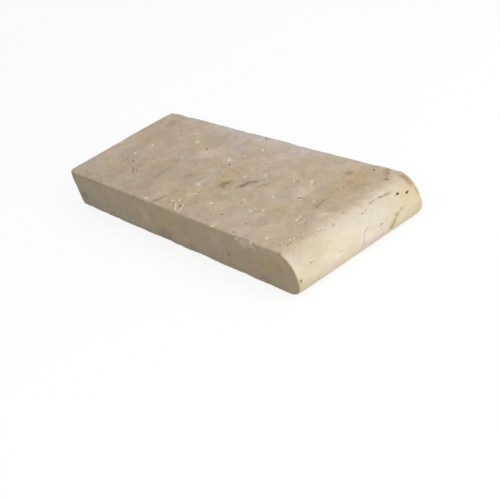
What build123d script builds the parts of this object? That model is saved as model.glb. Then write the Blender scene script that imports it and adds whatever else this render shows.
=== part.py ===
"""A pool coping stone: one piece of tumbled travertine with a full round nose on one short end.

The stone lies on its sawn bed, as it is laid on the pool wall. +X points at the water, so the round
nose is at +X, and the square end that meets the paving is at -X. +Y is the far long side and +Z is
up. The origin is the middle of the bed. All sizes are in millimetres and angles in degrees.
"""

import os
from math import cos, radians, sin

from build123d import *

# Sawn size of the stone
length = 305.0
width = 102.0
thickness = 31.0

# Full round nose: two like quarter rounds take up the thickness, but for a narrow flat at the tip
nose_flat = 2.0
nose_radius = (thickness - nose_flat) / 2

# Rounding that tumbling leaves on the sawn arrises, and on the square end's upright corners
arris_radius = 1.0
end_corner_radius = 2.2

# Natural voids in the walking face, each a tapering hollow with an oval mouth: along and across
# from the middle of the face, long axis, short axis, depth, turn of the long axis from the X axis
face_voids = [
    (-102.0, -18.0, 4.2, 2.0, 1.2, 15.0),
    (-47.0, 20.0, 3.4, 1.7, 1.6, 25.0),
    (-15.0, -44.0, 7.0, 2.6, 1.5, -75.0),
    (-3.5, 10.5, 2.8, 1.8, 1.5, 10.0),
    (12.5, -37.5, 3.0, 1.7, 1.2, 20.0),
    (12.8, -44.0, 7.4, 2.8, 1.3, -50.0),
    (57.5, -37.5, 4.0, 1.8, 1.2, 5.0),
    (85.0, -37.0, 3.4, 1.6, 1.1, 35.0),
    (95.5, -1.0, 2.6, 1.9, 1.6, 20.0),
    (104.0, 36.0, 4.6, 3.2, 0.8, 60.0),
    (115.5, 21.5, 3.0, 1.7, 1.4, 30.0),
]

# Voids in the nose: across from the middle, angle round the nose from its top, long axis,
# short axis, depth, turn of the long axis from the Y axis
nose_voids = [
    (42.5, 65.0, 3.2, 1.8, 1.9, 20.0),
    (36.5, 55.0, 3.0, 1.9, 2.0, -15.0),
    (17.0, 89.0, 1.8, 1.2, 1.0, 30.0),
    (-38.0, 77.0, 2.8, 1.2, 0.9, -15.0),
]

# Each void narrows to this share of its mouth at its bottom
void_floor_share = 0.35

# Fissures in the walking face: start, middle and end of each one, from the middle of the face,
# then its width and depth
face_fissures = [
    ((34.0, -7.5), (39.0, 0.0), (48.0, 6.5), 2.2, 1.3),
    ((15.5, -11.5), (20.0, -8.0), (25.5, -6.0), 3.0, 0.9),
    ((115.5, 4.0), (116.8, -0.5), (119.5, -5.0), 1.2, 0.9),
    ((-92.0, -23.5), (-87.0, -25.5), (-81.5, -29.0), 1.0, 0.6),
]

# Fissure along the nose: across from the middle, angle round the nose, length, width, depth
nose_fissure = (25.0, 38.0, 16.5, 1.3, 1.1)

# Slope of a fissure's walls
fissure_wall_angle = 22.0

# Shell-shaped chips in the near top arris: along from the middle, length, and depth of the bite
arris_chips = [
    (-30.0, 6.0, 0.9),
    (62.0, 5.0, 0.8),
    (93.0, 7.0, 1.1),
    (106.0, 5.0, 0.9),
]

# Chip that took off the near bed corner of the square end: radius of its shell, depth of the
# bite, and the way it faces out of the stone
corner_chip_radius = 14.0
corner_chip_bite = 2.4
corner_chip_facing = (-1.0, -0.9, -0.55)


def tangent_plane(across, angle):
    """The plane that touches the nose's top round at that angle, with its X axis along the nose."""
    outward = Vector(sin(radians(angle)), 0, cos(radians(angle)))
    centre = Vector(length / 2 - nose_radius, across, thickness - nose_radius)
    touch = centre + outward * nose_radius
    return Plane(origin=touch, x_dir=(0, 1, 0), z_dir=outward)


with BuildPart() as coping_stone:
    # The sawn block with its nose: one section, drawn on the near side and carried across the width
    with BuildSketch(Plane.XZ.offset(width / 2)):
        with BuildLine():
            back = -length / 2
            front = length / 2
            bed = Line((back, 0), (front - nose_radius, 0))
            under_nose = RadiusArc(bed @ 1, (front, nose_radius), -nose_radius)
            nose_tip = Line(under_nose @ 1, (front, nose_radius + nose_flat))
            over_nose = RadiusArc(nose_tip @ 1, (front - nose_radius, thickness), -nose_radius)
            walking_face = Line(over_nose @ 1, (back, thickness))
            Line(walking_face @ 1, bed @ 0)
        make_face()
    extrude(amount=-width)

    # Tumbling: the upright corners of the square end, then every arris in one run
    square_end = coping_stone.faces().sort_by(Axis.X)[0]
    fillet(square_end.edges().filter_by(Axis.Z), end_corner_radius)
    square_end = coping_stone.faces().sort_by(Axis.X)[0]
    fillet(square_end.edges().filter_by(Axis.Y), arris_radius)

    # Natural voids
    voids = [
        (Plane((along, across, thickness)), *mouth_size)
        for along, across, *mouth_size in face_voids
    ]
    voids += [
        (tangent_plane(across, angle), *mouth_size)
        for across, angle, *mouth_size in nose_voids
    ]
    for mouth, long_axis, short_axis, depth, turn in voids:
        with BuildSketch(mouth):
            Ellipse(long_axis / 2, short_axis / 2, rotation=turn)
        with BuildSketch(mouth.offset(-depth)):
            floor_long = long_axis / 2 * void_floor_share
            floor_short = short_axis / 2 * void_floor_share
            Ellipse(floor_long, floor_short, rotation=turn)
        loft(mode=Mode.SUBTRACT)

    # Natural fissures
    for start, middle, end, slot_width, depth in face_fissures:
        with BuildSketch(Plane.XY.offset(thickness)):
            SlotArc(ThreePointArc(start, middle, end), slot_width)
        extrude(amount=-depth, taper=fissure_wall_angle, mode=Mode.SUBTRACT)
    across, angle, slot_length, slot_width, depth = nose_fissure
    with BuildSketch(tangent_plane(across, angle)):
        SlotOverall(slot_length, slot_width)
    extrude(amount=-depth, taper=fissure_wall_angle, mode=Mode.SUBTRACT)

    # Chips, each the bite of a sphere that stands out of the stone: along the near top arris, and
    # at the near bed corner of the square end
    for along, chip_length, bite in arris_chips:
        shell_radius = (chip_length**2 / 4 + bite**2) / (2 * bite)
        arris = Vector(along, -width / 2, thickness)
        with Locations(arris + Vector(0, -1, 1).normalized() * (shell_radius - bite)):
            Sphere(shell_radius, mode=Mode.SUBTRACT)
    bed_corner = Vector(-length / 2, -width / 2, 0)
    chip_reach = corner_chip_radius - corner_chip_bite
    with Locations(bed_corner + Vector(corner_chip_facing).normalized() * chip_reach):
        Sphere(corner_chip_radius, mode=Mode.SUBTRACT)

os.makedirs("parts", exist_ok=True)
coping_stone.part.label = "coping_stone"
export_step(coping_stone.part, "parts/coping_stone.step")
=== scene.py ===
import math
import random

import bmesh
import bpy
from mathutils import Matrix, Vector, geometry, kdtree, noise


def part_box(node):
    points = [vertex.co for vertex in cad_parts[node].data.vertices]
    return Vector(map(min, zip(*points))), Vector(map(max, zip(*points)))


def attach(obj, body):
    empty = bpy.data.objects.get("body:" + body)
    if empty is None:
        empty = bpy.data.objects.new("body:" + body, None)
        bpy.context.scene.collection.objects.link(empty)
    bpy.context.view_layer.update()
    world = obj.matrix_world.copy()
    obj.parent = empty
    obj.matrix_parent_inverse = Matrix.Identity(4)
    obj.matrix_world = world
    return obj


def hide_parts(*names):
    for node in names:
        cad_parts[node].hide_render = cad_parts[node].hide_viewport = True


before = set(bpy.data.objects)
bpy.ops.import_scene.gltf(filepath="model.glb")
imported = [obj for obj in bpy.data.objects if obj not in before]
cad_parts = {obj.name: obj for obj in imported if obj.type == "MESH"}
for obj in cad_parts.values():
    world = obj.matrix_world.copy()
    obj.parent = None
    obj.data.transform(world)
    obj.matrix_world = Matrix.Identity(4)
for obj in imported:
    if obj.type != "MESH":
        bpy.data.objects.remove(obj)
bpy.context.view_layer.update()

# Sawn block
# The stone starts as a rectangular block sawn from a slab of cream travertine. A router takes one
# short end to a full round nose, and the block is then tumbled, which rounds every arris a little.
mm = 0.001
low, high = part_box("coping_stone")
block = high - low
nose_flat = 2 * mm
nose_radius = (block.z - nose_flat) / 2
nose_start = high.x - nose_radius
corner_radius = 1.5 * mm
arris_radius = 1 * mm

stone = bmesh.new()
bmesh.ops.create_cube(stone, size=1)
bmesh.ops.scale(stone, vec=block, verts=stone.verts)
bmesh.ops.translate(stone, vec=(low + high) / 2, verts=stone.verts)


def edges_along(axis, end):
    """The block's edges along axis 0, 1 or 2, at its nose end, which is 1, or its square end, -1."""
    return [
        edge for edge in stone.edges
        if all(vert.co.x * end > 0 for vert in edge.verts)
        and abs((edge.verts[0].co - edge.verts[1].co)[axis]) > block[axis] / 2
    ]


def round_off(edges, radius, steps):
    bmesh.ops.bevel(
        stone, geom=edges, offset=radius, segments=steps, profile=0.5, affect="EDGES", material=-1
    )


round_off(edges_along(axis=1, end=1), nose_radius, steps=8)
round_off(edges_along(axis=2, end=-1), corner_radius, steps=3)
sharp = math.radians(40)
arrises = [edge for edge in stone.edges if edge.calc_face_angle() > sharp]
round_off(arrises, arris_radius, steps=2)

# Skin
# Wear and marks are finer than the block's flat faces, so these are cut into squares of 5 mm. The
# places of all marks are written in mm on this skin as it lies when it is unfolded round the block.
square = 5 * mm
snap = 0.02 * mm
least_edge = 0.25 * mm
for axis in range(3):
    rows = round(block[axis] / square)
    across_axis = Vector((0, 0, 0))
    across_axis[axis] = 1
    for row in range(1, rows):
        bmesh.ops.bisect_plane(
            stone,
            geom=stone.verts[:] + stone.edges[:] + stone.faces[:],
            dist=snap,
            plane_co=low + across_axis * block[axis] * row / rows,
            plane_no=across_axis,
        )
bmesh.ops.remove_doubles(stone, verts=stone.verts, dist=least_edge)


def gaps(point):
    """How far inside the block a point lies: from its sides, its square end, and its top or bed."""
    side = block.y / 2 - abs(point.y)
    end = point.x - low.x
    roof = high.z - point.z
    bed = point.z - low.z
    past = point.x - nose_start
    if past > 0:
        over = nose_radius - min(roof, bed)
        roof = bed = nose_radius - math.hypot(past, max(over, 0))
    return side, end, min(roof, bed)


def is_walked_on(point):
    """True for the walking face and the nose, not for the sides, the square end or the bed."""
    side, end, skin = gaps(point)
    above_bed = point.x > nose_start or point.z > block.z / 2
    return above_bed and skin <= min(side, end)


def unfold(point):
    """Place in mm on the skin laid flat: the nose past 138 along, the sides past 51, the bed past 255."""
    side, end, skin = gaps(point)
    along, across = point.x, point.y
    if is_walked_on(point):
        past = point.x - nose_start
        over = point.z - (high.z - nose_radius)
        under = low.z + nose_radius - point.z
        if past > 0 and over > 0:
            along = nose_start + nose_radius * math.atan2(past, over)
        elif past > 0:
            along = nose_start + nose_radius * (math.pi / 2 + math.atan2(max(under, 0), past))
            along += min(-over, nose_flat)
    elif side <= min(end, skin):
        across += math.copysign(high.z - point.z, point.y)
    elif end <= skin:
        along -= high.z - point.z
    else:
        across += 3 * block.y
    return Vector((along, across, 0)) / mm


# Natural voids
# Gas and reeds left hollows in the travertine as it formed. Tumbling opens those near the surface,
# and unfilled coping keeps them. Each is at its place on the unfolded skin, to half a millimetre:
# along, across, long axis, short axis and depth in mm, turn in degrees.
voids = [
    # Walking face
    (-106.5, -19, 4, 1.5, 0.4, -10),
    (-105, 31.5, 6, 1.5, 0.35, -30),
    (-102, -17.5, 4.5, 2, 1.2, -10),
    (-58, -1.5, 6, 2.5, 0.4, -25),
    (-48, 19.5, 4.5, 1.6, 1.3, -20),
    (-43, 49.5, 3, 1.2, 0.6, -10),
    (-15, -31.5, 4.5, 1.5, 0.4, 0),
    (-14, 18.5, 3, 1, 0.6, -35),
    (-13.5, 15.5, 3, 1, 0.8, -35),
    (-13, -41.5, 3, 1.6, 1.1, -30),
    (-9, 48.5, 4.5, 1.8, 0.8, -25),
    (-3.5, 10.5, 4, 1.8, 1.5, -20),
    (10, -40.5, 3, 1, 0.8, -55),
    (12, -43, 4.5, 1.5, 1.3, -40),
    (12.5, -37.5, 3, 1.5, 0.8, -15),
    (14.5, -45, 3, 1, 0.8, -45),
    (19, -44.5, 3, 0.8, 0.6, -50),
    (20, -9, 8, 5, 0.4, 25),
    (21.5, -35.5, 6, 2, 0.4, -5),
    (27.5, 19.5, 3, 1.5, 0.4, -30),
    (45, -23, 5, 1.5, 0.4, 10),
    (52.5, -46.5, 3, 1.8, 0.9, -25),
    (57.5, -21, 3.5, 1.3, 0.5, -15),
    (57.5, -37.5, 4.5, 1.3, 0.9, -5),
    (71, 13, 1.6, 1, 0.7, 0),
    (78, -25.5, 2.2, 1.5, 0.8, -20),
    (82, -24, 3, 1, 0.5, -10),
    (86, -37.5, 3.5, 1.2, 0.7, -20),
    (87, -48, 3.5, 1.2, 0.7, -15),
    (91, 16.5, 4, 2.2, 0.4, -10),
    (96, -1, 3.5, 1.8, 1.8, -20),
    (104, 35.5, 6, 4, 0.3, 10),
    (116, 21.5, 3.2, 1.3, 0.9, -30),
    (118.5, 45.5, 3.2, 2, 1.3, -20),
    (121, -18, 2.5, 1, 0.7, -35),
    (128, -20, 4, 1.5, 0.4, -15),
    (133, -44.5, 2, 1, 0.8, -25),
    (134, -28.5, 2.5, 1, 0.9, -30),
    (137.5, -39.5, 2.4, 1.2, 1, -20),
    # Nose
    (138, 39.5, 4, 2.5, 0.4, 0),
    (138.5, -42, 2, 1, 0.9, -30),
    (142, -1, 2.5, 1, 0.5, 40),
    (152, 36.5, 2.6, 1.8, 1.5, 80),
    (152.5, 34.5, 1.8, 0.8, 0.6, -75),
    (154.5, 42.5, 3.6, 1.5, 1.5, -80),
    (157.5, -38.5, 1.6, 1.2, 0.7, 60),
    (158, -36.5, 1.6, 1, 0.6, 60),
    (162.5, -16.5, 1.4, 0.9, 0.7, 0),
    (163, 17, 1.7, 1.1, 1, 50),
    (164.5, -49, 2, 1.4, 0.8, 40),
    # Near side
    (58, -75, 3.5, 1.5, 0.5, 30),
    (74.5, -70, 5, 2.2, 0.35, 25),
    (140.5, -52.5, 3, 1, 0.3, -20),
]

# The faces that the photo hides carry a scatter of such voids too: the far side, the square end and
# the bed, each with its stretch along and across the unfolded skin and its count.
random.seed(12)
far_side = ((-140, 130), (54, 78), 14)
square_end = ((-178, -157), (-46, 46), 6)
bed_face = ((-140, 130), (262, 350), 26)
hidden_faces = (far_side, square_end, bed_face)
for alongs, acrosses, count in hidden_faces:
    for _ in range(count):
        long_axis = random.uniform(1.6, 5)
        voids.append((
            random.uniform(*alongs),
            random.uniform(*acrosses),
            long_axis,
            long_axis * random.uniform(0.4, 0.8),
            random.uniform(0.4, 1.4),
            random.uniform(0, 180),
        ))


def reaches(marks, share, margin):
    """The place of each mark, and how far it reaches: a share of its long axis, and a margin in mm."""
    return [
        (Vector((along, across, 0)), long_axis * share + margin) for along, across, long_axis, *_ in marks
    ]


void_places = reaches(voids, share=0.7, margin=0.6)

# Fissures
# The same stone parts along its old reed beds. These run as broken lines: width and depth in mm,
# then the points that each one passes through on the unfolded skin.
fissures = [
    # Walking face
    (1.1, 0.7, (-91, -24), (-85.5, -27), (-81, -29.5)),
    (1.1, 0.7, (-86, -24), (-80, -26.5), (-76, -33)),
    (2.6, 1.3, (-19, -47.5), (-15.5, -46), (-14.5, -43.5), (-13.5, -40)),
    (2.8, 0.5, (16, -10), (19.5, -7.5), (25, -4.5)),
    (2.5, 0.6, (17, -12), (20.5, -13), (24, -12.5)),
    (5.5, 0.8, (34.5, -7.5), (37.5, -6), (38.5, -2.5)),
    (3.6, 0.7, (36.5, -1), (40, 0.5), (43.5, 2)),
    (2.4, 0.6, (43.5, 2.5), (45, 4.5), (48, 6)),
    (1.8, 0.7, (51, -3), (51.5, 0), (53, 2), (56, 4)),
    (1, 0.9, (71.5, 17.5), (74, 15), (75, 12.5)),
    (1.5, 1, (116.5, 4), (117, 0), (119.5, -4.5)),
    (2.5, 0.25, (127, 50), (132.5, 45.5), (136.5, 41)),
    # Nose
    (1, 0.6, (141.5, -22), (143.5, -21.5), (145, -17.5)),
    (0.9, 0.6, (147, 16.5), (147, 20), (147, 24.5)),
    (1.7, 0.8, (147, 24.5), (148, 28.5), (148.5, 32.5)),
    (0.8, 0.5, (148, 5), (150, 8), (150.5, 10.5), (149, 13)),
    (0.5, 0.3, (156, 10), (159.5, 6.5)),
    (1, 0.7, (159.5, 6.5), (161, 4), (163.5, 2)),
    (0.8, 0.5, (163.5, 2), (168, 1), (171, 1.5)),
]
stride = 1.1


def walk(points):
    """Points at an even stride along a fissure."""
    for start, end in zip(points, points[1:]):
        start, end = Vector((*start, 0)), Vector((*end, 0))
        steps = max(1, round((end - start).length / stride))
        for step in range(steps):
            yield start.lerp(end, step / steps)


fissure_places = [
    [(place, width * 0.7 + stride) for place in walk(points)] for width, _, *points in fissures
]

# Calcite
# Calcite crystals fill other old voids as pale spots and strokes. They are harder than the limestone,
# so tumbling leaves them a little proud. Each is along, across, long axis and short axis in mm, turn
# in degrees, and strength.
pale_marks = [
    # Walking face
    (-121.5, -13, 5, 1.9, -25, 0.7),
    (-113.5, -8.5, 5.5, 1.7, -30, 1),
    (-108.5, 5.5, 5, 2.8, -20, 0.8),
    (-84, 33, 10, 3, 12, 0.5),
    (-69.5, 24.5, 6, 2.2, -35, 1.1),
    (-57, 2, 6, 2.2, 10, 0.35),
    (-43.5, 17.5, 4, 1, -20, 0.6),
    (-30, 47, 6, 2.5, -10, 0.4),
    (-28, -48.5, 5.5, 2, 0, 0.9),
    (-25, -36, 5, 1.5, -20, 0.5),
    (-11.5, -42, 3, 1.4, -30, 0.9),
    (-10, 5.5, 5, 1.2, -30, 0.25),
    (-10, 14.5, 6.5, 2.8, -35, 1.1),
    (-2, -13, 7, 3.5, 90, 0.45),
    (-1, -18.5, 5, 2, -25, 1),
    (-1, 8.5, 3, 1, -35, 0.8),
    (0, -41.5, 6, 1.4, 5, 0.9),
    (0, 24, 6, 2.8, 0, 0.45),
    (1, 1.5, 5, 1.1, -35, 0.6),
    (3.5, -8, 6, 1, -45, 0.5),
    (4.5, -39, 6, 1.3, -45, 0.9),
    (5.5, -31, 3, 1.8, -40, 0.7),
    (5.5, 35, 6, 1.8, -40, 0.9),
    (8, -28.5, 5, 1.8, 10, 0.8),
    (9, -45, 10, 1.4, -30, 1),
    (11, -42, 4, 1, -50, 0.8),
    (13, -48, 6, 1.4, -30, 1),
    (15, -42.5, 5.5, 1.3, -25, 0.9),
    (17.5, -46.5, 8, 1.4, -60, 1),
    (22.5, 13, 6, 1, -60, 0.5),
    (24, 16, 18, 2.5, -70, 0.3),
    (25.5, 20.5, 3, 1.5, -20, 0.6),
    (27, 4, 8, 2, -55, 0.3),
    (27, 24.5, 4, 2.4, 0, 0.55),
    (28, 3, 6, 1, -50, 0.45),
    (35.5, -31.5, 4.5, 2.8, -15, 1),
    (36, -9, 5, 0.8, -20, 0.55),
    (41, -36, 8, 1, -40, 0.45),
    (43, 10.5, 8, 1.3, -35, 0.65),
    (45, -27.5, 8, 4, -15, 0.4),
    (50.5, 0.5, 3.5, 1, -40, 0.6),
    (54.5, -14, 4, 1.5, -20, 0.5),
    (57, -18, 5, 2.5, -15, 0.4),
    (63.5, -50.5, 5, 1.9, 10, 1.3),
    (71.5, 17, 4, 1, -50, 0.8),
    (73, 13, 4.5, 1.4, -20, 1),
    (75.5, -25.5, 2.8, 2, 0, 0.9),
    (76, -22, 3, 1.2, -30, 0.6),
    (76, -7, 5, 1.3, -25, 0.9),
    (84, -21.5, 3.5, 1.4, -15, 1),
    (87, 17.5, 6, 2.8, -25, 1.1),
    (94.5, 0.5, 2, 1, -20, 0.9),
    (98.5, -2, 3, 1.4, -15, 1.2),
    (102, -9, 4, 1.5, -10, 0.4),
    (111, 0.5, 3.2, 1.8, -45, 0.9),
    (117.5, -43, 2.6, 2.3, 0, 1.2),
    (118, -16, 3, 1.2, -50, 1),
    (119, -19.5, 4, 1.5, -50, 1),
    (124, -17.5, 3, 1, -30, 0.5),
    (132, -7, 8, 3.5, 0, 0.35),
    (133, -42.5, 2.2, 0.9, -20, 0.8),
    (134, -40, 2, 1, -20, 0.8),
    (135, -37.5, 2.8, 1.1, -20, 0.9),
    (136, -35, 2.6, 1.3, -25, 1.1),
    (136.5, -32, 2.2, 1.2, -30, 0.9),
    (137, -5, 3, 1, -20, 0.8),
    # Nose
    (138, -29.5, 2.5, 1, -30, 1),
    (139.5, -34, 2, 0.9, -30, 0.7),
    (139.5, -9, 4.5, 1, -10, 0.7),
    (140.5, -27, 2, 0.8, -30, 0.7),
    (142.5, -20.5, 2.4, 1, 60, 0.8),
    (145.5, 23, 2.5, 0.8, 85, 0.7),
    (145.5, 29, 3, 1.1, 80, 0.9),
    # Near side
    (60.5, -72.5, 3, 0.8, 35, 0.5),
    (70.5, -64.5, 10, 2, 30, 0.2),
    (93, -53, 4, 1.2, 25, 1.1),
    (110, -52, 6, 1.4, 30, 1),
]
thin = 2
thin_marks = [mark for mark in pale_marks if mark[3] < thin]
calcite_places = reaches(thin_marks, share=0.6, margin=0.3)

# Faint flecks are strewn over the walking face as well.
for _ in range(40):
    fleck = random.uniform(1.5, 4)
    pale_marks.append((
        random.uniform(-145, 135),
        random.uniform(-48, 48),
        fleck,
        fleck * random.uniform(0.3, 0.5),
        random.uniform(-50, -10),
        random.uniform(0.3, 0.5),
    ))


# Finer skin
# Every square is halved, and those of the faces that show are halved again. Those round a void, a
# fissure or a thin stroke of calcite are halved twice more.
def halve(faces):
    """Halves the width of these faces, and leaves nothing with more than four sides."""
    edges = {edge for face in faces for edge in face.edges}
    bmesh.ops.subdivide_edges(stone, edges=list(edges), cuts=1, use_grid_fill=True)
    many_sided = [face for face in stone.faces if len(face.verts) > 4]
    bmesh.ops.triangulate(stone, faces=many_sided)


def near_places(points, places):
    """For each place, the numbers of the points within its reach."""
    tree = kdtree.KDTree(len(points))
    for number, point in enumerate(points):
        tree.insert(point, number)
    tree.balance()
    return [
        [number for _, number, _ in tree.find_range(place, reach)] for place, reach in places
    ]


def faces_round_marks():
    centres = [unfold(face.calc_center_median()) for face in stone.faces]
    places = void_places + calcite_places + [place for places in fissure_places for place in places]
    numbers = {number for found in near_places(centres, places) for number in found}
    stone.faces.ensure_lookup_table()
    return [stone.faces[number] for number in numbers]


def shows_most(face):
    """True on the walking face, the nose and the near side."""
    centre = face.calc_center_median()
    return is_walked_on(centre) or centre.y < -block.y / 2 + arris_radius


halve(stone.faces[:])
halve([face for face in stone.faces if shows_most(face)])
halve(faces_round_marks())
halve(faces_round_marks())

# Wear
# Saw and router leave the faces nearly flat. Tumbling lowers them in soft waves, most of all along
# the arrises, and the voids and fissures open in what is left.
face_loss = 0.1
face_waves = ((30, 0.14), (8, 0.08), (2.5, 0.04))
arris_loss = 0.15
arris_waves = ((30, 0.5), (12, 0.2), (4, 0.2))
arris_band = 2.6 * mm
sawn_share = 0.35

stone.normal_update()
skin = [(vert.co.copy(), vert.normal.copy()) for vert in stone.verts]
unfolded = [unfold(point) for point, _ in skin]


def waves(point, width):
    """Soft waves above and below 0, this many mm wide, with waves of half that width on them."""
    fall_off, narrower, layers = 1.0, 2.0, 2
    return noise.fractal(point / (width * mm), fall_off, narrower, layers)


def loss(point, mean, wave_sizes):
    """What tumbling takes off here, in mm: a mean, and waves of these widths and heights."""
    return max(mean + sum(height * waves(point, width) for width, height in wave_sizes), 0)


def fade(value, start, end):
    """Falls smoothly from 1 at start to 0 at end."""
    part = min(max((end - value) / (end - start), 0), 1)
    return part * part * (3 - 2 * part)


lowered = []
for point, _ in skin:
    worn = loss(point, face_loss, face_waves)
    if not is_walked_on(point):
        worn *= sawn_share
    nearest_arris = sorted(gaps(point))[1]
    worn += loss(point, arris_loss, arris_waves) * fade(nearest_arris, 0, arris_band)
    lowered.append(worn)


def ring_round(place, mark_place, long_axis, short_axis, turn, edge_size, ragged):
    """How far out a place is from the middle of an oval mark with a ragged edge, which is at 1."""
    offset = Matrix.Rotation(math.radians(-turn), 2) @ (place.xy - Vector(mark_place))
    ring = 2 * math.hypot(offset.x / long_axis, offset.y / short_axis)
    return ring * (1 + ragged * noise.noise(place / edge_size))


def paint(marks, edge_size):
    """The summed strength of these marks at each point of the skin."""
    shade = [0] * len(skin)
    places = [(Vector((along, across, 0)), 0.9 * max(size)) for along, across, *size, _, _ in marks]
    for mark, found in zip(marks, near_places(unfolded, places)):
        along, across, long_axis, short_axis, turn, strength = mark
        for number in found:
            place = unfolded[number]
            ring = ring_round(
                place, (along, across), long_axis, short_axis, turn, edge_size, ragged=0.5
            )
            shade[number] += strength * fade(ring, 0.2, 1.4)
    return shade


proud = 0.12
calcite = paint(pale_marks, edge_size=0.9)
lowered = [max(drop - proud * min(shade, 1), 0) for drop, shade in zip(lowered, calcite)]

# Voids have sloping walls, and the smaller ones get pale, patchy rims, which are painted highlights.
hollows = [0] * len(skin)
rim_highlights = [0] * len(skin)
for void, found in zip(voids, near_places(unfolded, void_places)):
    along, across, long_axis, short_axis, depth, turn = void
    for number in found:
        place = unfolded[number]
        ring = ring_round(
            place, (along, across), long_axis, short_axis, turn, edge_size=1.3, ragged=0.3
        )
        inside = fade(ring, 0.35, 1.1)
        lowered[number] += depth * inside
        # How deep a point lies in a void is kept for its colour: partly dirt, partly painted shade.
        hollows[number] = max(hollows[number], min(depth, 1.2) * inside)
        patches = 0.35 + noise.noise(place / 2.5)
        rim_highlight = min(depth, 1) * fade(long_axis, 2.5, 5) * fade(abs(ring - 1.15), 0.1, 0.4)
        rim_highlights[number] = max(rim_highlights[number], patches * rim_highlight)


def distance_to_line(point, corners):
    """From a point to the nearest stretch of a line through these corners."""
    shortest = math.inf
    for start, end in zip(corners, corners[1:]):
        start, end = Vector((*start, 0)), Vector((*end, 0))
        _, part = geometry.intersect_point_line(point, start, end)
        nearest = start.lerp(end, min(max(part, 0), 1))
        shortest = min(shortest, (point - nearest).length)
    return shortest


# Fissures wander a little to either side of their lines, and are shallow or closed in places.
elsewhere = Vector((7, 0, 0))
for fissure, places in zip(fissures, fissure_places):
    width, depth, *corners = fissure
    for number in {number for found in near_places(unfolded, places) for number in found}:
        place = unfolded[number]
        broken = 0.75 + 0.9 * noise.noise(place / 2.2)
        wander = Vector((noise.noise(place / 4), noise.noise(place / 4 + elsewhere), 0))
        gap = distance_to_line(place + 0.6 * wander, corners)
        inside = fade(gap, 0.1 * width, 0.6 * width) * max(broken, 0)
        lowered[number] += depth * inside
        # A fissure's depth likewise sets its dirt and painted shade.
        hollows[number] = max(hollows[number], min(depth, 1) * inside)

for vert, (point, outward), drop in zip(stone.verts, skin, lowered):
    vert.co = point - outward * drop * mm

# Chips
# Stones knock against each other in the tumbler, which shells chips off their arrises. Each bite
# here is a ball that stands out of the arris: its place, the way it faces, its length and its depth.
near_top_arris = (
    # Along in mm, tilt up, length and depth
    (-45, 0.3, 26, 0.8),
    (-30, 1, 6, 0.9),
    (62, 1, 5, 0.8),
    (93, 1, 7, 1.1),
    (104, 0.05, 24, 1),
    (106, 1, 5, 0.9),
)
chips = [
    (Vector((along * mm, -block.y / 2, high.z)), Vector((0, -1, tilt)), chip_length, bite)
    for along, tilt, chip_length, bite in near_top_arris
]
bed_corner = Vector((low.x, -block.y / 2, low.z))
top_corner = Vector((low.x, -block.y / 2, high.z - 3 * mm))
square_end_arris = Vector((low.x, 46 * mm, high.z))
chips.append((bed_corner, Vector((-1, -0.9, -0.55)), 15.5, 2.4))
chips.append((top_corner, Vector((-1, -1, 0.8)), 12, 1.8))
chips.append((square_end_arris, Vector((-1, 0.3, 0.6)), 26, 1.2))

# Small nicks are scattered along the four long arrises: so many along each, on its side and level.
near, far = -1, 1
at_bed, at_top = 0, 1
for count, side, level in ((20, near, at_bed), (9, near, at_top), (14, far, at_bed), (14, far, at_top)):
    for _ in range(count):
        arris = Vector((random.uniform(-145, 135) * mm, side * block.y / 2, level * high.z))
        facing = Vector((0, side, 1 if level == at_top else -1))
        chips.append((arris, facing, random.uniform(2, 6), random.uniform(0.4, 0.8)))

for place, facing, chip_length, bite in chips:
    ball = (chip_length**2 / 4 + bite**2) / (2 * bite) * mm
    centre = place + facing.normalized() * (ball - bite * mm)
    for vert in stone.verts:
        reach = vert.co - centre
        if reach.length < 1.1 * ball:
            rough = ball * (1 + 0.02 * waves(vert.co, 2))
            if reach.length < rough:
                vert.co = centre + reach.normalized() * rough

# Iron stains
# Iron in the ground water left tan stains round the voids, most of all at the far end of the nose.
# They are written like the calcite.
tan_stains = [
    # Walking face
    (19, 3, 10, 5, -25, 0.3),
    (20.5, -9, 9, 6, 30, 0.5),
    (38, -4, 6, 6, 0, 0.5),
    (42, 1.5, 8, 4, 25, 0.5),
    (104, 35.5, 8, 6, 0, 0.4),
    (116, 27, 12, 5, -35, 0.35),
    (131, 46, 12, 5, -40, 0.7),
    # Nose
    (138, 39.5, 5, 3, 0, 0.9),
    (145, 48, 6, 4, 0, 1.1),
    (150, 48, 7, 4, 0, 0.9),
    (156, 49, 8, 3, 0, 0.6),
    (161.5, 34, 4, 3, 60, 0.5),
    (163.5, 30, 5, 3.5, -50, 0.9),
    (166.5, 27, 5, 3.5, -45, 0.8),
    (169.5, 24.5, 6, 4, -30, 0.8),
    (146, -11.5, 2.8, 2.5, 0, 0.6),
    (164.5, -49, 4, 3, 0, 0.5),
]

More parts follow.
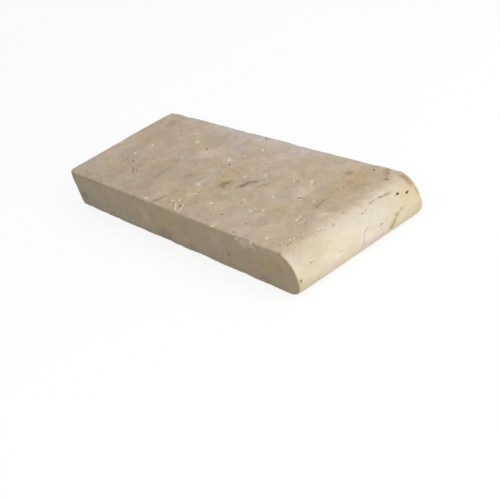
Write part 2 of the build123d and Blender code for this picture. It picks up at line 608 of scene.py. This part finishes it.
# Clouded beds
# The limestone was laid down in clouds that differ in tone and in cast. Each list has the clouds that
# show in the photo, written like the marks. A strength below 0 is darker, bluer or pinker.
tone_clouds = [
    # Walking face
    (-100, -34, 120, 40, 0, -0.6),
    (-127, 37, 14, 13, 0, -1.1),
    (-88, -20, 12, 6, 20, -1.0),
    (-55, -21, 13, 10, -20, -1.0),
    (-24, -13.5, 13, 6, 10, -1.4),
    (-68, 6, 18, 3, -30, -0.4),
    (20, -9, 13, 10, 30, -1.2),
    (40, -2, 14, 9, 40, -0.7),
    (31, -22.5, 12, 6, 10, -1.1),
    (12, 7, 12, 8, 0, -0.5),
    (104, 36, 9, 8, 0, -0.8),
    (118, 2, 6, 15, 0, -0.6),
    (124, 27, 20, 14, 0, -0.6),
    (-16, -45, 7, 14, 0, -0.9),
    (53, 0, 7, 7, 0, -0.5),
    (-37, 17, 30, 17, 35, 1.3),
    (30, 33, 15, 18, 0, 1.3),
    (-10, 15, 9, 8, 0, 0.9),
    (-3, -16, 7, 11, 0, 1.0),
    (8, -30, 15, 13, 0, 0.8),
    (42, -32, 20, 11, 0, 0.7),
    (68, 18, 26, 9, 0, 1.0),
    (71, 31, 16, 9, 30, 0.8),
    (93, 7, 18, 13, 0, 1.3),
    (70, -3, 14, 8, -45, 0.9),
    (93, -44, 14, 10, -30, 1.2),
    (111, -30, 14, 11, 0, 0.7),
    (-110, 4, 10, 9, 0, 0.7),
    (-115, -8, 9, 7, 0, 0.6),
    (-70, 25, 9, 7, 0, 0.8),
    (-84, 34, 11, 7, 0, 0.6),
    (130, -7, 13, 8, 0, 0.9),
    (118, -17, 7, 9, 0, 0.8),
    (-30, 48, 220, 16, 0, 1.2),
    (-134, 47, 20, 10, 0, -0.5),
    (-86, 34, 26, 40, 0, 0.5),
    (-38, 36, 24, 14, 0, 0.6),
    (0, 46, 50, 10, 0, 0.5),
    (18, 38, 60, 26, 0, 0.6),
    (58, 24, 20, 14, 0, 0.4),
    (70, 22, 40, 14, 0, 0.4),
    (84, 47, 24, 12, 0, -0.5),
    (101, -28, 14, 9, 0, 0.6),
    (106, 8, 18, 12, 0, 0.5),
    (130, 22, 14, 16, 0, -0.7),
    (-112, -8, 40, 36, 0, -0.8),
    (-35, -14, 90, 36, 0, -0.5),
    (-14, -22, 26, 46, 0, -0.5),
    (34, -22, 20, 12, 0, -0.6),
    (82, -2, 22, 24, 0, -0.5),
    (-80, -46, 150, 14, 0, -0.5),
    (-122, -46, 40, 12, 0, -0.4),
    (2, -46, 36, 12, 0, -0.4),
    (133.5, -1.2, 9, 7, 0, -0.6),
    # Near side
    (-142, -72, 14, 10, 0, -1.5),
    (-148, -57, 4, 8, 0, -0.8),
    (-152, -66, 5, 44, 0, -1.8),
    (-14, -77, 28, 14, 20, -1.1),
    (25, -78, 14, 6, 0, -0.9),
    (75, -70, 8, 7, 0, -0.8),
    (112, -77, 18, 6, 0, -0.8),
    (135, -64, 18, 14, 0, -0.4),
    (-36, -66, 13, 20, 0, 0.6),
    (62, -61, 30, 10, 35, 0.6),
    (104, -53.5, 19, 10, 5, 2.6),
    (-134, -68, 30, 30, 0, -0.3),
    (130, -72, 22, 26, 0, -0.35),
    # Nose
    (139, 0, 18, 110, 0, 0.55),
    (150, -36, 18, 22, 0, -0.5),
    (150, -42, 12, 14, 0, -0.4),
    # This cloud is painted light: it lightens the nose's lower curve, which turns down from the lamp.
    (168, 0, 12, 56, 0, 0.5),
]
warm_clouds = [
    # Walking face
    (118, 31, 34, 36, 0, 1.0),
    (-50, 37, 60, 16, -10, -0.9),
    (-46, 8, 24, 14, 30, -0.7),
    (14, -1, 32, 20, -48, 1.2),
    (97, -16, 34, 20, -60, 0.8),
    (2, -34, 34, 22, -45, 0.6),
    (-129, 40, 24, 16, 0, 0.8),
    (-131, 12, 18, 14, 0, 0.7),
    (-120, -32, 34, 10, -30, 0.5),
    (-25, 2, 34, 12, -30, 0.4),
    (-35, 49, 190, 16, 0, -2.0),
    (-22, 33, 38, 20, -30, -1.0),
    (-85, 30, 16, 12, 0, -0.8),
    (-115, 12, 14, 8, -30, -0.8),
    (-118, -10, 44, 18, 0, -0.6),
    (95, -46, 34, 13, 0, -0.8),
    (30, 38, 40, 14, 0, -0.7),
    (22, 45, 64, 18, 0, -0.8),
    (15, 42, 120, 22, 0, -0.45),
    (-110, 42, 60, 24, 0, -0.4),
    (-40, -22, 170, 40, 0, 0.25),
    (-75, -8, 140, 14, 0, 0.25),
    # Near side
    (5, -62, 66, 22, 15, 0.5),
    (130, -63, 42, 14, 25, 0.8),
    (-142, -66, 24, 34, 0, -0.6),
    (0, -79, 290, 6, 0, -0.5),
    (-120, -74, 34, 10, 20, -1.0),
    (-115, -60, 24, 9, 25, -0.7),
    (-100, -54, 50, 6, 0, 0.6),
    (-62, -55, 18, 9, 0, -0.5),
    (64, -63, 34, 9, 40, -0.8),
    (104, -54, 24, 12, 0, -0.8),
    (-134, -72, 26, 22, 0, -0.5),
    (-70, -76, 70, 12, 0, -0.35),
    # Nose
    (152, 6, 28, 26, 20, -0.3),
    (168, 31, 10, 12, 0, 0.8),
    (158, 44, 20, 10, 0, 0.9),
    (148, -33, 22, 26, 0, 0.5),
    (168, -34, 10, 12, 0, 0.6),
    (166, 0, 14, 26, 0, -0.5),
    (164, 42, 14, 20, 0, -0.4),
]
green_clouds = [
    # Walking face
    (-140, 42, 16, 15, 0, 1.3),
    (-146, 2, 15, 16, 0, 1.4),
    (-73, 31, 26, 11, -10, 0.9),
    (-72, 48, 18, 9, 0, 1.0),
    (-120, 14, 26, 9, -45, 0.8),
    (-128, -30, 17, 12, 0, 0.8),
    (0, 44, 17, 10, 0, 0.9),
    (36, -11, 32, 9, -30, 0.9),
    (8, 3, 20, 7, -35, 0.9),
    (92, -12, 13, 11, 0, 0.9),
    (105, 18, 13, 8, -45, 0.7),
    (98, 35, 15, 13, 0, 0.6),
    (-5, -28, 26, 10, -30, 0.7),
    (10, -48, 24, 8, 0, 0.9),
    (46, 8, 34, 7, -40, 0.5),
    (-109, 33, 44, 11, -50, -1.0),
    (-141, 16, 13, 10, 0, -1.2),
    (-85, -4, 26, 10, 0, -0.9),
    (-147, -20, 11, 18, 0, -1.3),
    (15, -13, 24, 9, -30, -1.0),
    (45, 49, 16, 11, 0, -1.2),
    (71, -10, 13, 16, 0, -0.8),
    (36, 29, 26, 8, 0, -0.6),
    (108, -28, 20, 10, 0, -0.7),
    (0, 49, 290, 10, 0, 0.8),
    (116, 38, 14, 14, 0, -0.8),
    (112, 44, 14, 8, 0, -0.9),
    (116, 25, 7, 14, -20, -1.2),
    (100, -27, 16, 7, 25, -0.7),
    (26, -41, 12, 10, 0, -0.8),
    (18, 6, 10, 7, 25, -1.2),
    (14, 1, 14, 9, -35, -0.8),
    (46, 46, 40, 12, 0, -0.5),
    (-70, 47, 44, 10, 0, 1.0),
    (-134, -26, 16, 50, 0, 0.6),
    # Near side
    (104, -54, 24, 12, 0, -0.6),
    (-142, -66, 16, 24, 0, 1.0),
    (-45, -59, 34, 7, 30, 0.8),
    (-12, -65, 19, 10, 0, 0.9),
    (12, -58, 34, 13, 25, 0.3),
    (-72, -76, 30, 9, 10, 1.0),
    (-60, -54, 20, 9, 0, -1.1),
    (-118, -62, 22, 8, 25, 0.9),
    (-121, -75, 20, 8, 15, -0.8),
    (42, -74, 19, 9, 0, 0.7),
    (85, -77, 14, 11, 0, 0.7),
    (126, -76, 19, 6, 25, 1.4),
    (-48, -69, 13, 11, 0, -0.8),
    (75, -62, 13, 12, 0, -0.8),
    (35, -56, 20, 8, 40, -0.8),
    (98, -77, 9, 7, 0, -0.9),
    # Nose
    (156, 20, 18, 18, 0, 0.5),
    (156, -30, 20, 30, 0, 0.4),
    (168, 38, 11, 12, 0, 1.0),
]

# On the faces that the photo hides they are scattered, like the voids.
for alongs, acrosses, count in hidden_faces:
    for _ in range(count):
        for cloud_list in (tone_clouds, warm_clouds, green_clouds):
            cloud_list.append((
                random.uniform(*alongs),
                random.uniform(*acrosses),
                random.uniform(16, 44),
                random.uniform(8, 22),
                random.uniform(0, 180),
                random.uniform(-1, 1),
            ))

travertine = bpy.data.meshes.new("tumbled_travertine")
bmesh.ops.recalc_face_normals(stone, faces=stone.faces)
for face in stone.faces:
    face.smooth = True
stone.to_mesh(travertine)
stone.free()
# The painted highlights round the small voids are laid into the calcite shade, to take its pale colour.
calcite = [mark + rim_highlight for mark, rim_highlight in zip(calcite, rim_highlights)]
sawn = [0 if is_walked_on(point) else 1 for point, _ in skin]
shades = {
    "hollow": hollows,
    "calcite": calcite,
    "iron_stain": paint(tan_stains, edge_size=3),
    "tone": paint(tone_clouds, edge_size=6),
    "warmth": paint(warm_clouds, edge_size=6),
    "green": paint(green_clouds, edge_size=6),
    "sawn": sawn,
}
for name, shade in shades.items():
    travertine.attributes.new(name, "FLOAT", "POINT").data.foreach_set("value", shade)


# Travertine's colour
# Cream limestone laid down in clouded beds: tan where it has weathered, paler where the router has
# just cut the nose, with pink and olive casts, fine grain and pin holes all over.
def colour(red, green, blue):
    """A paint chart's 0 to 255 values as the linear colour that a shader takes."""
    return [((part / 255 + 0.055) / 1.055) ** 2.4 for part in (red, green, blue)] + [1]


weathered_cream = colour(206, 187, 163)
weathered_tan = colour(198, 177, 150)
sawn_tan = colour(182, 165, 135)
routed_cream = colour(220, 207, 185)
routed_tan = colour(213, 197, 167)
iron_tan = colour(160, 128, 92)
crystal_and_highlight_cream = colour(246, 231, 208)
hollow_dirt_and_shade_brown = colour(92, 75, 57)
pin_hole_shade_brown = colour(128, 110, 86)


def start_finish(data):
    """Clears the shader nodes of a material or the world, and returns the tree that add() fills."""
    data.use_nodes = True
    data.node_tree.nodes.clear()
    return data.node_tree


def add(kind, inputs, output=0, **settings):
    """Adds a shader node: its settings, then its inputs, each a value or another node's output."""
    made = shader_tree.nodes.new(kind)
    for name, value in settings.items():
        setattr(made, name, value)
    for socket, value in inputs.items():
        if isinstance(value, bpy.types.NodeSocket):
            shader_tree.links.new(value, made.inputs[socket])
        else:
            made.inputs[socket].default_value = value
    return made.outputs[output] if made.outputs else made


def clouds(size, detail=3, distortion=0, at=None):
    """A cloudy pattern from 0 to 1 whose clouds are about this many mm across."""
    inputs = {"Vector": at or place, "Scale": 1 / size, "Detail": detail, "Distortion": distortion}
    return add("ShaderNodeTexNoise", inputs)


def between(value, start, end, low_result=0.0, high_result=1.0):
    """Runs smoothly from one result to the other as the value goes from start to end."""
    inputs = {0: value, 1: start, 2: end, 3: low_result, 4: high_result}
    return add("ShaderNodeMapRange", inputs, interpolation_type="SMOOTHSTEP")


def drift(pattern, swing):
    """A cloudy pattern as a value that drifts this far to either side of 0."""
    return between(pattern, 0.3, 0.7, -swing, swing)


def times(first, second):
    return add("ShaderNodeMath", {0: first, 1: second}, operation="MULTIPLY")


def plus(first, *others):
    for other in others:
        first = add("ShaderNodeMath", {0: first, 1: other}, operation="ADD")
    return first


def over(under, coat, amount, how="MIX"):
    """One colour laid over another."""
    inputs = {0: amount, 6: under, 7: coat}
    return add("ShaderNodeMix", inputs, output=2, data_type="RGBA", blend_type=how)


def mark(name):
    """One of the shades that were painted on the skin."""
    return add("ShaderNodeAttribute", {}, output=2, attribute_name=name)


finish = bpy.data.materials.new("tumbled_travertine")
shader_tree = start_finish(finish)
object_place = add("ShaderNodeTexCoord", {}, output=3)
place = add("ShaderNodeMapping", {0: object_place, "Scale": (1 / mm, 1 / mm, 1 / mm)})
along_stone = add("ShaderNodeSeparateXYZ", {0: place})
above_bed = add("ShaderNodeSeparateXYZ", {0: place}, output=2)

# Base colours. The router's pale cut has a ragged edge past the start of the nose.
# Light and shade are painted onto the cut: palest towards the bed, a painted highlight where the
# curve turns down from the lamp, and painted darker near the top of the nose.
wide_clouds = clouds(34, detail=4, distortion=0.6)
weathered = over(weathered_cream, weathered_tan, between(wide_clouds, 0.35, 0.65))
weathered = over(weathered, sawn_tan, times(mark("sawn"), 0.8))
fresh = over(routed_cream, routed_tan, between(clouds(26, distortion=0.5), 0.4, 0.65))
ragged_edge = plus(along_stone, times(clouds(7, detail=4), 8))
nose_start_mm = nose_start / mm
routed = between(ragged_edge, nose_start_mm + 7, nose_start_mm + 13)
routed = times(routed, between(mark("sawn"), 0, 1, 1, 0))
stone_colour = over(weathered, fresh, routed)
# Painted light and shade on the routed nose: lighter low down, darker near its top.
nose_painted_light_and_shade = times(between(above_bed, 12, 30, 1.06, 0.92), between(above_bed, 1, 11, 1.25, 1))
nose_painted_light_and_shade = over((1, 1, 1, 1), nose_painted_light_and_shade, routed)
stone_colour = over(stone_colour, nose_painted_light_and_shade, 1.0, "MULTIPLY")

# Streaks, mottle and grain, which are fainter on the routed and sawn faces, and the clouds painted
# on the skin. Each goes into the tone or into one of two casts.
streaks_place = add("ShaderNodeMapping", {0: place, "Scale": (1, 2.2, 2.2), "Rotation": (0, 0, 0.55)})
shifted = add("ShaderNodeMapping", {0: place, "Location": (90, 40, 10)})
streaks = drift(clouds(13, detail=4, distortion=1.2, at=streaks_place), 0.5)
beds = between(clouds(15, detail=4, distortion=1.0, at=streaks_place), 0.46, 0.54, -0.2, 0.2)
soft_tone = drift(clouds(18, distortion=0.6), 0.5)
mottle = drift(clouds(3.2, distortion=0.5), 0.25)
grain = drift(clouds(1.3, detail=4), 0.13)
plain = times(between(routed, 0, 1, 1, 0.45), between(mark("sawn"), 0, 1, 1, 0.6))
rougher_front = between(along_stone, -90, 60, 0.4, 1.1)
cloudy = times(plus(streaks, beds, soft_tone), plain)
gritty = times(times(plus(mottle, grain), rougher_front), plain)
cloud_strength = between(mark("sawn"), 0, 1, 1.3, 1.8)
warm_drift = drift(clouds(20, detail=1, distortion=0.8, at=shifted), 0.3)
green_drift = drift(clouds(15, detail=1, distortion=0.8, at=shifted), 0.4)
tone = plus(times(mark("tone"), cloud_strength), cloudy, gritty)
warmth = plus(times(mark("warmth"), cloud_strength), warm_drift)
green = plus(times(mark("green"), cloud_strength), green_drift)
lighter = (0.1, 0.1, 0.1)
warmer = (0.02, 0, -0.1)
greener = (-0.013, 0.026, -0.013)
tint = (1, 1, 1)
for amount, cast in ((tone, lighter), (warmth, warmer), (green, greener)):
    scaled = add("ShaderNodeVectorMath", {0: cast, 3: amount}, operation="SCALE")
    tint = add("ShaderNodeVectorMath", {0: tint, 1: scaled}, operation="ADD")
shaded = add("ShaderNodeVectorMath", {0: stone_colour, 1: tint}, operation="MULTIPLY")

# Marks over the clouds, and pin holes in sparse patches, painted brown as painted shade in them
stained = over(shaded, iron_tan, times(mark("iron_stain"), 0.75))
# The calcite shade holds both the calcite and the painted highlights round the smaller voids.
calcite_and_rim_highlights = mark("calcite")
uneven_calcite_and_highlights = plus(calcite_and_rim_highlights, drift(clouds(2, detail=2), 0.25))
crystals_and_rim_highlights = between(uneven_calcite_and_highlights, 0.15, 0.65)
crystal_and_rim_highlight = over(stained, crystal_and_highlight_cream, times(crystals_and_rim_highlights, 0.75))
# Voids and fissures are painted darker brown the deeper they go: partly dirt, partly painted shade.
dirt_and_shade_in_hollows = over(crystal_and_rim_highlight, hollow_dirt_and_shade_brown, times(mark("hollow"), 0.8))
pin_holes = add("ShaderNodeTexVoronoi", {"Vector": place, "Scale": 1 / 4.2, "Randomness": 1})
pin_hole = between(pin_holes, 0.05, 0.11, 1, 0)
sparse = between(clouds(11, detail=2), 0.56, 0.62)
pin_hole = times(pin_hole, sparse)
# Painted shade in the pin holes.
body_colour = over(dirt_and_shade_in_hollows, pin_hole_shade_brown, times(pin_hole, 0.5))

# Fine relief, and how matt the worn stone is
relief = plus(clouds(0.7), times(clouds(3.5), 2.5), times(pin_hole, -2), times(crystals_and_rim_highlights, 2))
bumped = add("ShaderNodeBump", {"Height": relief, "Distance": 0.08 * mm, "Strength": 0.8})
matt = between(clouds(6), 0.3, 0.7, 0.62, 0.78)
surface = add(
    "ShaderNodeBsdfPrincipled", {"Base Color": body_colour, "Roughness": matt, "Normal": bumped}
)
add("ShaderNodeOutputMaterial", {0: surface})


def put_in_scene(name, data):
    """A new object in the scene, made of this mesh, lamp or camera data."""
    made = bpy.data.objects.new(name, data)
    bpy.context.scene.collection.objects.link(made)
    return made


tumbled_travertine = put_in_scene("tumbled_travertine", travertine)
travertine.materials.append(finish)
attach(tumbled_travertine, "root")
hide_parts("coping_stone")

# Studio floor
# A wide white board that the stone lies on, a hair below the bed so that the two don't coincide. It
# shows white to the camera, but for the soft shadow.
floor_gap = 0.1 * mm
half_width = 4
board = bmesh.new()
bmesh.ops.create_grid(board, x_segments=1, y_segments=1, size=half_width)
bmesh.ops.translate(board, vec=Vector((0, 0, low.z - floor_gap)), verts=board.verts)
floor_mesh = bpy.data.meshes.new("studio_floor")
board.to_mesh(floor_mesh)
board.free()
studio_floor = put_in_scene("studio_floor", floor_mesh)

floor_finish = bpy.data.materials.new("white_board")
shader_tree = start_finish(floor_finish)
seen = add("ShaderNodeLightPath", {})
matt_board = add("ShaderNodeBsdfDiffuse", {"Color": (0.65, 0.65, 0.65, 1)})
lit_board = add("ShaderNodeEmission", {"Color": (1, 1, 1, 1), "Strength": 1.08})
pale_board = add("ShaderNodeBsdfDiffuse", {"Color": (0.9, 0.9, 0.9, 1)})
shown_board = add("ShaderNodeMixShader", {0: 0.25, 1: lit_board, 2: pale_board})
board_surface = add("ShaderNodeMixShader", {0: seen, 1: matt_board, 2: shown_board})
add("ShaderNodeOutputMaterial", {0: board_surface})
floor_mesh.materials.append(floor_finish)

# Studio light
# One wide soft box stands low beyond the nose, and a pale room fills the rest. The room is white to
# the camera and dimmer to the stone.
studio = bpy.data.worlds.new("pale_room")
bpy.context.scene.world = studio
shader_tree = start_finish(studio)
seen = add("ShaderNodeLightPath", {})
room_light = add("ShaderNodeBackground", {"Color": (1, 1, 1, 1), "Strength": 0.59})
white_room = add("ShaderNodeBackground", {"Color": (1, 1, 1, 1), "Strength": 0.96})
room = add("ShaderNodeMixShader", {0: seen, 1: room_light, 2: white_room})
add("ShaderNodeOutputWorld", {0: room})


def soft_box(name, azimuth, elevation, distance, width, power):
    """A square area lamp that faces the stone. Azimuth is counted from +X towards +Y."""
    lamp_data = bpy.data.lights.new(name, "AREA")
    lamp_data.shape = "SQUARE"
    lamp_data.size = width
    lamp_data.energy = power
    flat = Vector((math.cos(math.radians(azimuth)), math.sin(math.radians(azimuth)), 0))
    rise = math.radians(elevation)
    towards = flat * math.cos(rise) + Vector((0, 0, math.sin(rise)))
    turn = towards.to_track_quat("Z", "Y").to_matrix().to_4x4()
    lamp = put_in_scene(name, lamp_data)
    lamp.matrix_world = Matrix.Translation(towards * distance) @ turn


soft_box("key_soft_box", azimuth=5, elevation=27, distance=1.6, width=1.0, power=13.8)

# Camera
# It looks down on the stone from beyond the nose's near corner, rolled as the photo's was. Its sensor
# and its lens are in mm, and so is its place, which is counted from the middle of the bed.
sensor_width = 36
focal_length = 83.6
camera_place = Vector((685.2, -328.1, 344.5)) * mm
sight = Vector((-0.8069, 0.3864, -0.4468)).normalized()
roll = math.radians(20.94)
level_right = sight.cross(Vector((0, 0, 1))).normalized()
level_down = sight.cross(level_right)
picture_right = math.cos(roll) * level_right + math.sin(roll) * level_down
picture_up = math.sin(roll) * level_right - math.cos(roll) * level_down

camera_data = bpy.data.cameras.new("camera")
camera_data.sensor_width = sensor_width
camera_data.lens = focal_length
camera = put_in_scene("camera", camera_data)
facing = Matrix((picture_right, picture_up, -sight)).transposed().to_4x4()
camera.matrix_world = Matrix.Translation(camera_place) @ facing
bpy.context.scene.camera = camera
bpy.context.scene.view_settings.view_transform = "Standard"
